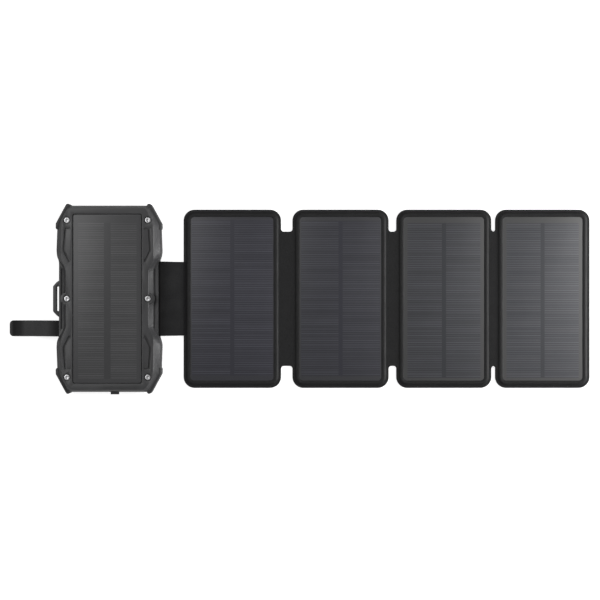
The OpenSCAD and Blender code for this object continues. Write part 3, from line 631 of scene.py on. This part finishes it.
pocketShape = [
    (windowX + 1.3 * mm, 56.9 * mm, 0.8 * mm), (windowX + 6.3 * mm, 56.9 * mm, 0.8 * mm),
    (windowX + 8 * mm, hollowY + 8.5 * mm, 1.5 * mm), (windowX + 3.3 * mm, hollowY - 1.2 * mm, 0.8 * mm),
    (windowX + 1.3 * mm, hollowY - 1.2 * mm, 0.4 * mm)]
ribShape = [
    (windowX + 0.5 * mm, 55.7 * mm, 0.3 * mm), (windowX + 4.6 * mm, 55.7 * mm, 0.6 * mm),
    (windowX + 5.7 * mm, hollowY + 8.2 * mm, 1 * mm), (windowX + 2.3 * mm, hollowY + 1.2 * mm, 0.6 * mm),
    (windowX + 0.5 * mm, hollowY + 1.2 * mm, 0.3 * mm)]


def pocketCutters():
    made = []
    top = bankTop + mm
    for sx in (-1, 1):
        for sy in (-1, 1):
            pocket, rib = ([(sx * x, sy * y) for x, y in roundedOutline(shape, 4)]
                           for shape in (pocketShape, ribShape))
            cutter = stackedPiece("pocket", [(bankTop - caseShape["pocketDepth"], pocket), (top, pocket)])
            cutAway(cutter, [stackedPiece("rib", [(bankTop - 3 * mm, rib), (top + mm, rib)])])
            made.append(cutter)
    return made


def makeFrontFrame():
    lift = 0.5 * mm
    frontFrame = stackedPiece("frontFrame", [
        (partingHeight, bankOutline(outerQuarter)),
        (caseShape["shoulder"] - 0.4 * mm, bankOutline(outerQuarter)),
        (caseShape["shoulder"], bankOutline(insetQuarter(outerQuarter, 0.15 * mm))),
        (caseShape["shoulder"] + 0.05 * mm, bankOutline(shoulderQuarter)),
        (bankTop - lift, bankOutline(plateauQuarter)),
        (bankTop, bankOutline(insetQuarter(plateauQuarter, lift * 0.7)))])
    cutAway(frontFrame, grooveCutters())
    bossHeight = bankTop - caseShape["shoulder"] - 0.3 * mm
    bossMiddle = (caseShape["shoulder"] + bankTop) / 2 - 0.15 * mm
    for sx in (-1, 1):
        boss = rodPiece("boss", (sx * caseShape["screwX"], 0, bossMiddle),
                        caseShape["bossRadius"], bossHeight)
        join = frontFrame.modifiers.new("boss", "BOOLEAN")
        join.operation = "UNION"
        join.solver = "EXACT"
        join.object = boss
        applyModifiers(frontFrame)
        bpy.data.objects.remove(boss)
    corner = caseShape["windowCorner"]
    window = roundedOutline([(windowX, windowY, corner), (-windowX, windowY, corner),
                             (-windowX, -windowY, corner), (windowX, -windowY, corner)])
    cutters = [stackedPiece("window", [(caseShape["windowSeat"], window), (bankTop + mm, window)])]
    for x, y in screwPlaces:
        cutters.append(rodPiece("counterbore", (x, y, caseShape["headSeat"] + 2 * mm),
                                caseShape["counterbore"], 4 * mm))
        cutters.append(rodPiece("shankHole", (x, y, 16 * mm), caseShape["shankHole"], 12 * mm, vertices=24))
    cutters += roomCutters() + portCutters() + slotCutters() + pocketCutters()
    cutters.append(cadCopy("corner_bumpers"))
    cutAway(frontFrame, cutters)
    cleanNormals(frontFrame)
    bevelEdges(frontFrame, caseShape["edge"], 3, 28)
    smoothByAngle(frontFrame)
    handOver(frontFrame, "frontFrame", casePlastic, "bank", ["front_frame"])


makeFrontFrame()
print("front frame made")


# A copy of a CAD part with its facets merged and its sharp edges eased
def addEased(node, name, material, body, width, segments=2):
    piece = cadCopy(node)
    bpy.ops.object.mode_set(mode="EDIT")
    bpy.ops.mesh.select_all(action="SELECT")
    bpy.ops.mesh.dissolve_limited(angle_limit=math.radians(1))
    bpy.ops.object.mode_set(mode="OBJECT")
    bevelEdges(piece, width, segments)
    smoothByAngle(piece)
    handOver(piece, name, material, body, [node])


addEased("rear_shell", "rearShell", casePlastic, "bank", 0.3 * mm)
addEased("corner_bumpers", "cornerBumpers", bumperRubber, "bank", 0.5 * mm, 3)
addEased("lanyard_lug", "lanyardLug", lugCoating, "bank", 0.5 * mm, 3)
addEased("face_screws", "faceScrews", screwSteel, "bank", 0.12 * mm)
addEased("port_cover", "portCover", coverSilicone, "port_cover", 0.25 * mm, 3)
addEased("power_button", "powerButton", bumperRubber, "power_button", 0.4 * mm, 3)
addEased("usb_a_sockets", "usbASockets", socketSteel, "bank", 0.12 * mm)
addEased("torch_lens", "torchLens", clearPlastic, "bank", 0.3 * mm, 3)
addEased("snap_socket", "snapSocket", snapPlate, "panel_1", 0.25 * mm, 3)
addEased("snap_stud", "snapStud", snapPlate, "strap_tip", 0.15 * mm, 3)
print("case parts eased")

panelPrint = {
    "pitch": 1.85 * mm, "lineShare": 0.34, "stripe": 3.4 * mm, "columns": 62 * mm, "rows": 129 * mm,
    "shift": 0.8 * mm,
    "dark": (0.017, 0.017, 0.024), "light": (0.029, 0.029, 0.039), "finger": (0.056, 0.056, 0.07),
    "stripeColour": (0.023, 0.023, 0.032), "margin": (0.028, 0.028, 0.034), "roughness": 0.42}
# Per panel: the print's plain margins, which differ, and the film's colours. The film gets lighter and greyer
# from panel to panel, most on panels 3 and 4; that lighter colour is painted light.
panelPrintAndPaintedLight = [
    {"sideMargin": 0.6 * mm, "rows": 127.4 * mm, "shift": 0.8 * mm},
    {"sideMargin": 1.0 * mm, "rows": 127 * mm, "shift": 0.2 * mm, "dark": (0.019, 0.019, 0.025),
     "light": (0.031, 0.032, 0.039), "margin": (0.034, 0.034, 0.038)},
    {"sideMargin": 2.9 * mm, "rows": 126.8 * mm, "shift": -1.4 * mm, "dark": (0.026, 0.027, 0.031),
     "light": (0.04, 0.041, 0.047), "finger": (0.075, 0.076, 0.086), "stripeColour": (0.027, 0.028, 0.033),
     "margin": (0.052, 0.052, 0.053)},
    {"sideMargin": 2.9 * mm, "rows": 126.8 * mm, "shift": -1.4 * mm, "stripe": 3.2 * mm,
     "dark": (0.043, 0.044, 0.05), "light": (0.06, 0.061, 0.069), "finger": (0.1, 0.101, 0.112),
     "stripeColour": (0.042, 0.043, 0.049), "margin": (0.072, 0.072, 0.072)},
]
bankPrint = dict(panelPrint, columns=47 * mm, rows=125 * mm, shift=-1.6 * mm, stripe=5.4 * mm,
                 dark=(0.038, 0.038, 0.04), light=(0.05, 0.05, 0.052), finger=(0.085, 0.084, 0.087),
                 stripeColour=(0.038, 0.038, 0.04), margin=(0.044, 0.044, 0.046), roughness=0.4)


def roundedPlate(name, low, high, corner, edge):
    low, high = Vector(low), Vector(high)
    deselectAll()
    centre = ((low.x + high.x) / 2, (low.y + high.y) / 2, low.z)
    bpy.ops.mesh.primitive_plane_add(size=1, location=centre)
    plate = bpy.context.object
    plate.name = name
    plate.scale = (high.x - low.x, high.y - low.y, 1)
    bpy.ops.object.transform_apply(location=True, rotation=True, scale=True)
    inEditMode(plate, "VERT")
    bpy.ops.mesh.select_all(action="SELECT")
    bpy.ops.mesh.bevel(offset=corner, segments=10, profile=0.5, affect="VERTICES")
    bpy.ops.mesh.select_mode(type="FACE")
    bpy.ops.mesh.select_all(action="SELECT")
    bpy.ops.mesh.extrude_region_move(TRANSFORM_OT_translate={"value": (0, 0, high.z - low.z)})
    bpy.ops.object.mode_set(mode="OBJECT")
    cleanNormals(plate)
    bevelEdges(plate, edge, 3, 50)
    smoothByAngle(plate)
    return plate


def makeBankLaminate():
    plate = roundedPlate("bankLaminate", laminateLow, laminateHigh, 1.6 * mm, 0.25 * mm)
    handOver(plate, "bankLaminate", solarMaterial("bankCells", 0.0, bankPrint), "bank",
             ["bank_solar_laminate"])


panelBorder = 6.2 * mm


def makePanelLaminate(number):
    low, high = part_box(f"panel_{number}_laminate")
    skinLow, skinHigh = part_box(f"panel_{number}_front_skin")
    plate = roundedPlate(f"panel{number}Laminate", low, high, 2.6 * mm, 0.2 * mm)
    name = f"panel{number}Cells"
    window = skinHigh.x - skinLow.x - 2 * panelBorder
    # the film colours for panels 2 to 4 carry painted light
    settings = dict(panelPrint, **panelPrintAndPaintedLight[number - 1])
    settings["columns"] = window - 2 * settings["sideMargin"]
    material = solarMaterial(name, (low.x + high.x) / 2, settings)
    handOver(plate, f"panel{number}Laminate", material, f"panel_{number}",
             [f"panel_{number}_laminate"])


makeBankLaminate()
for number in (1, 2, 3, 4):
    makePanelLaminate(number)
print("laminates made")

skinShape = {
    "corner": 9 * mm, "edgeLow": 0.35 * mm, "edgeHigh": 1.35 * mm, "wave": 0.05 * mm,
    # inset from the edge and height of each ring, from the flange to the window's floor
    "profile": [(0.3, 1.62), (0.9, 1.7), (1.6, 1.7), (2.0, 1.74), (2.3, 1.9), (2.6, 2.2), (2.95, 2.52),
                (3.4, 2.76), (3.9, 2.88), (4.4, 2.9), (4.9, 2.86), (5.4, 2.77), (5.8, 2.67), (6.1, 2.56),
                (6.2, 2.46), (6.25, 1.5)],
}


def makePanelSkin(number):
    low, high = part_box(f"panel_{number}_back_skin")
    deselectAll()
    bpy.ops.mesh.primitive_plane_add(size=1, location=((low.x + high.x) / 2, 0, skinShape["edgeLow"]))
    skin = bpy.context.object
    skin.scale = (high.x - low.x, high.y - low.y, 1)
    bpy.ops.object.transform_apply(location=True, rotation=True, scale=True)
    inEditMode(skin, "VERT")
    bpy.ops.mesh.select_all(action="SELECT")
    bpy.ops.mesh.bevel(offset=skinShape["corner"], segments=12, profile=0.5, affect="VERTICES")
    bpy.ops.mesh.select_mode(type="EDGE")
    bpy.ops.mesh.select_all(action="DESELECT")
    bpy.ops.object.mode_set(mode="OBJECT")
    for edge in skin.data.edges:
        a, b = (skin.data.vertices[i].co for i in edge.vertices)
        edge.select = (a - b).length > 20 * mm
    bpy.ops.object.mode_set(mode="EDIT")
    bpy.ops.mesh.subdivide(number_cuts=23)
    bpy.ops.mesh.select_mode(type="FACE")
    bpy.ops.mesh.select_all(action="SELECT")
    bpy.ops.mesh.extrude_region_move(
        TRANSFORM_OT_translate={"value": (0, 0, skinShape["edgeHigh"] - skinShape["edgeLow"])})
    insetNow, heightNow = 0.0, skinShape["edgeHigh"] / mm
    for inset, height in skinShape["profile"]:
        bpy.ops.mesh.inset(thickness=(inset - insetNow) * mm, depth=(height - heightNow) * mm)
        insetNow, heightNow = inset, height
    bpy.ops.object.mode_set(mode="OBJECT")
    for face in skin.data.polygons:
        face.select = face.center.z < skinShape["edgeLow"] + 0.01 * mm and abs(face.normal.z) > 0.9
    inEditMode(skin)
    bpy.ops.mesh.inset(thickness=0.25 * mm, depth=0.22 * mm)
    bpy.ops.mesh.inset(thickness=0.5 * mm, depth=skinShape["edgeLow"] - 0.22 * mm)
    bpy.ops.object.mode_set(mode="OBJECT")
    cleanNormals(skin)
    for vertex in skin.data.vertices:
        if vertex.co.z > 1.6 * mm:
            vertex.co.z += skinShape["wave"] * (noise.noise(vertex.co * 55) - 0.6)
            vertex.co.x += skinShape["wave"] * noise.noise(vertex.co * 40 + Vector((7, 3, 1)))
    smoothByAngle(skin, 60)
    handOver(skin, f"panel{number}Skin", leather, f"panel_{number}",
             [f"panel_{number}_back_skin", f"panel_{number}_front_skin"])


for number in (1, 2, 3, 4):
    makePanelSkin(number)
print("panel skins made")


# A strip of leatherette laid along a path in the XZ plane. halfWidth gives its half width at each place,
# and meetX is where it meets the other half of the same strip, so that end stays square.
def fabricStrip(name, path, halfWidth, thickness, rows, meetX, middle=0.0, wrinkle=0.0):
    deselectAll()
    bpy.ops.mesh.primitive_grid_add(x_subdivisions=len(path) - 1, y_subdivisions=rows, size=2)
    strip = bpy.context.object
    strip.name = name
    for vertex in strip.data.vertices:
        step = round((vertex.co.x + 1) / 2 * (len(path) - 1))
        x, z = path[step]
        across = vertex.co.y
        y = across * halfWidth(step / (len(path) - 1))
        lift = wrinkle * noise.noise(Vector((x * 160, y * 28, 0.3))) * (1 - across ** 4)
        vertex.co = (x, middle + y, z + lift)
    solid = strip.modifiers.new("thickness", "SOLIDIFY")
    solid.thickness = thickness
    solid.offset = 0
    applyModifiers(strip)
    cleanNormals(strip)
    inEditMode(strip, "EDGE")
    bpy.ops.mesh.select_all(action="DESELECT")
    bpy.ops.mesh.edges_select_sharp(sharpness=math.radians(50))
    bpy.ops.object.mode_set(mode="OBJECT")
    endPairs = [(path[0], path[1]), (path[-1], path[-2])]
    meet, beside = (Vector(place) for place in min(endPairs, key=lambda pair: abs(pair[0][0] - meetX)))
    along = (beside - meet).normalized()
    for edge in strip.data.edges:
        corners = [strip.data.vertices[i].co for i in edge.vertices]
        if all(abs((corner.xz - meet).dot(along)) < 0.1 * mm for corner in corners):
            edge.select = False
    bpy.ops.object.mode_set(mode="EDIT")
    bpy.ops.mesh.bevel(offset=thickness * 0.38, segments=3, affect="EDGES")
    bpy.ops.object.mode_set(mode="OBJECT")
    smoothByAngle(strip, 60)
    return strip


webShape = {
    "tuck": 2.2 * mm, "fillet": 2.2 * mm, "bendBack": 0.5 * mm, "bendOn": 1.1 * mm, "wrinkle": 0.03 * mm,
    "pressed": 0.14 * mm,    # the fabric is this much thinner than the room that it has in the roll
}


def straightPath(start, end, steps):
    return [(start[0] + (end[0] - start[0]) * k / steps, start[1] + (end[1] - start[1]) * k / steps)
            for k in range(steps + 1)]


def makeWebHalf(name, node, webBody, edgeX, middleX):
    low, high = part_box(node)
    height, thickness = (low.z + high.z) / 2, high.z - low.z - webShape["pressed"]
    halfLength = high.y
    side = 1 if middleX > edgeX else -1
    startX = edgeX - side * webShape["tuck"]
    steps = 16

    def halfWidth(share):
        x = startX + (middleX - startX) * share
        away = side * (x - edgeX)
        reach = webShape["fillet"]
        if away >= reach:
            return halfLength
        lean = min(1.0, 1 - away / reach) if away > 0 else 1.0
        return halfLength + reach * (1 - math.sqrt(max(0.0, 1 - lean ** 2)))

    path = straightPath((startX, height), (middleX, height), steps)
    strip = fabricStrip(name, path, halfWidth, thickness, 90, middleX, wrinkle=webShape["wrinkle"])
    handOver(strip, name, leather, webBody, [node], ride=False)
    if side > 0:
        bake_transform(strip)
    else:
        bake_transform(strip)


for pair in ("12", "23", "34"):
    webX = jointPlace(f"web_{pair}_fold").x
    nextX = jointPlace(f"panel_{pair[1]}_fold").x
    middleX = (webX + nextX) / 2
    makeWebHalf(f"web{pair}Near", f"web_{pair}", f"web_{pair}", webX, middleX)
    makeWebHalf(f"web{pair}Far", f"web_{pair}", f"web_{pair}", nextX, middleX)
print("webs made")


# Both sloping strips ease from the case down to where they land: flatter where they leave and where they
# land, steeper in the middle, by the share that swell gives
def slopingPath(start, end, steps, swell):
    points = []
    for k in range(steps + 1):
        t = k / steps
        ease = t + swell * (t * t * (3 - 2 * t) - t)
        points.append((start[0] + (end[0] - start[0]) * t, start[1] + (end[1] - start[1]) * ease))
    return points


ribbonShape = {
    "swell": 0.3, "tuck": 2.4 * mm, "inside": 1.2 * mm, "wrinkle": 0.06 * mm, "thickness": 0.88 * mm}


def makeRibbon():
    root, far = jointPlace("ribbon_fold"), jointPlace("panel_1_fold")
    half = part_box("ribbon_tail")[1].y
    slope = slopingPath((root.x, root.z), (far.x, far.z), 36, ribbonShape["swell"])
    lead = straightPath((root.x - ribbonShape["inside"], root.z), (root.x, root.z), 4)[:-1]
    tuck = straightPath((far.x, far.z), (far.x + ribbonShape["tuck"], far.z), 4)[1:]
    middle = len(slope) // 2
    meetX = slope[middle][0]
    near = fabricStrip("ribbonNear", lead + slope[:middle + 1], lambda share: half,
                       ribbonShape["thickness"], 50, meetX, wrinkle=ribbonShape["wrinkle"])
    handOver(near, "ribbonNear", ribbonNearPaintedShadeLeather, "ribbon", ["ribbon"], ride=False)
    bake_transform(near)
    farHalf = fabricStrip("ribbonFar", slope[middle:] + tuck, lambda share: half,
                          ribbonShape["thickness"], 50, meetX, wrinkle=ribbonShape["wrinkle"])
    handOver(farHalf, "ribbonFar", ribbonFarPaintedShadeLeather, "ribbon", ["ribbon"], ride=False)
    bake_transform(farHalf)


strapShape = {"swell": 0.15, "inside": 1.2 * mm, "tipRound": 3 * mm}


def makeStrap():
    root, crease = jointPlace("strap_fold"), jointPlace("strap_tip_fold")
    low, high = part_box("strap_tip")
    middleY, half = (low.y + high.y) / 2, (high.y - low.y) / 2
    thickness = high.z - low.z
    slope = slopingPath((root.x, root.z), (crease.x, crease.z), 36, strapShape["swell"])
    lead = straightPath((root.x + strapShape["inside"], root.z), (root.x, root.z), 4)[:-1]
    cut = len(slope) // 2
    meetX = slope[cut][0]
    rootHalf = fabricStrip("strapRoot", lead + slope[:cut + 1], lambda share: half, thickness, 14,
                           meetX, middleY)
    handOver(rootHalf, "strapRoot", strapRootPaintedShadeLeather, "strap_root", ["strap_root"], ride=False)
    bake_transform(rootHalf)
    tipX = low.x
    flat = straightPath((crease.x, crease.z), (tipX, crease.z), 40)[1:]
    tipPath = slope[cut:] + flat
    total = len(tipPath) - 1

    def tipWidth(share):
        x = tipPath[round(share * total)][0]
        away = x - tipX
        reach = strapShape["tipRound"]
        if away >= reach:
            return half
        return half - reach * (1 - math.sqrt(max(0.0, 1 - (1 - away / reach) ** 2)))

    tip = fabricStrip("strapTip", tipPath, tipWidth, thickness, 14, meetX, middleY)
    handOver(tip, "strapTip", strapTipPaintedLightLeather, "strap_tip", ["strap_tip"], ride=False)
    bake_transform(tip)


makeRibbon()
makeStrap()
print("ribbon and strap made")

# The CAD parts that stay as they are get their materials here
staying = {
    "shell_gasket": coverSilicone, "threaded_inserts": insertBrass, "laminate_adhesive": padFoam,
    "battery_cells": pouchFoil, "battery_pads": padFoam, "battery_leads": tabNickel, "main_board": solderMask,
    "power_components": partPlastic, "usb_c_socket": socketSteel, "control_board": solderMask,
    "tact_switch": partPlastic, "indicator_leds": clearPlastic, "light_pipe": clearPlastic,
    "torch_led": solderMask, "ribbon_tail": darkLeather, "strap_tail": darkLeather, "ribbon_lead": leadCopper,
    "web_12_lead": leadCopper, "web_23_lead": leadCopper, "web_34_lead": leadCopper,
    "panel_1_stiffener": boardStock, "panel_2_stiffener": boardStock, "panel_3_stiffener": boardStock,
    "panel_4_stiffener": boardStock,
}
for node, material in staying.items():
    piece = frame["nodes"][node]
    piece.data.materials.clear()
    piece.data.materials.append(material)
print("inner parts finished")

# The floor's glow is seen by the camera only, and lights nothing
stageShape = {"middle": 154.7 * mm, "cameraHeight": 1.0, "seen": 492 * mm, "floor": 2.6, "glow": 0.75}


def makeStage():
    deselectAll()
    bpy.ops.mesh.primitive_plane_add(size=stageShape["floor"] * 2,
                                     location=(stageShape["middle"], 0, -0.05 * mm))
    floor = bpy.context.object
    floor.name = "paleFloor"
    material, tree, shader, place = newMaterial("paleFloor")
    tint = noiseNode(tree, place, 6, 3)
    tree.links.new(colourRamp(tree, tint, [(0.3, (0.7, 0.7, 0.7)), (0.7, (0.72, 0.72, 0.72))]),
                   shader.inputs["Base Color"])
    shader.inputs["Roughness"].default_value = 0.9
    shader.inputs["Emission Color"].default_value = (1, 1, 1, 1)
    seen = tree.nodes.new("ShaderNodeLightPath").outputs["Is Camera Ray"]
    tree.links.new(mathNode(tree, "MULTIPLY", seen, stageShape["glow"]), shader.inputs["Emission Strength"])
    floor.data.materials.append(material)


def addSoftLight(name, place, size, power, target=(0.15, 0, 0)):
    deselectAll()
    bpy.ops.object.light_add(type="AREA", location=place)
    lamp = bpy.context.object
    lamp.name = name
    lamp.data.shape = "RECTANGLE"
    lamp.data.size, lamp.data.size_y = size
    lamp.data.energy = power
    aim = Vector(target) - Vector(place)
    lamp.rotation_euler = aim.to_track_quat("-Z", "Y").to_euler()


def makeCamera():
    place = (stageShape["middle"], -1.0 * mm, stageShape["cameraHeight"])
    bpy.ops.object.camera_add(location=place, rotation=(0, 0, 0))
    camera = bpy.context.object
    camera.data.lens = 36 * stageShape["cameraHeight"] / stageShape["seen"]
    camera.data.clip_start, camera.data.clip_end = 0.01, 20
    bpy.context.scene.camera = camera


makeStage()
addSoftLight("leftLight", (-0.75, 0.35, 1.35), (0.9, 0.9), 8)
addSoftLight("rightLight", (1.45, 0.1, 0.85), (0.7, 1.2), 10)
addSoftLight("lowLight", (1.1, 0, 0.3), (0.3, 0.7), 9, (0, 0, 0))
makeCamera()
world = bpy.data.worlds.new("studio")
bpy.context.scene.world = world
world.use_nodes = True
world.node_tree.nodes["Background"].inputs["Color"].default_value = (1, 1, 1, 1)
world.node_tree.nodes["Background"].inputs["Strength"].default_value = 0.2
bpy.context.scene.view_settings.view_transform = "Standard"
print("stage, lights and camera made")
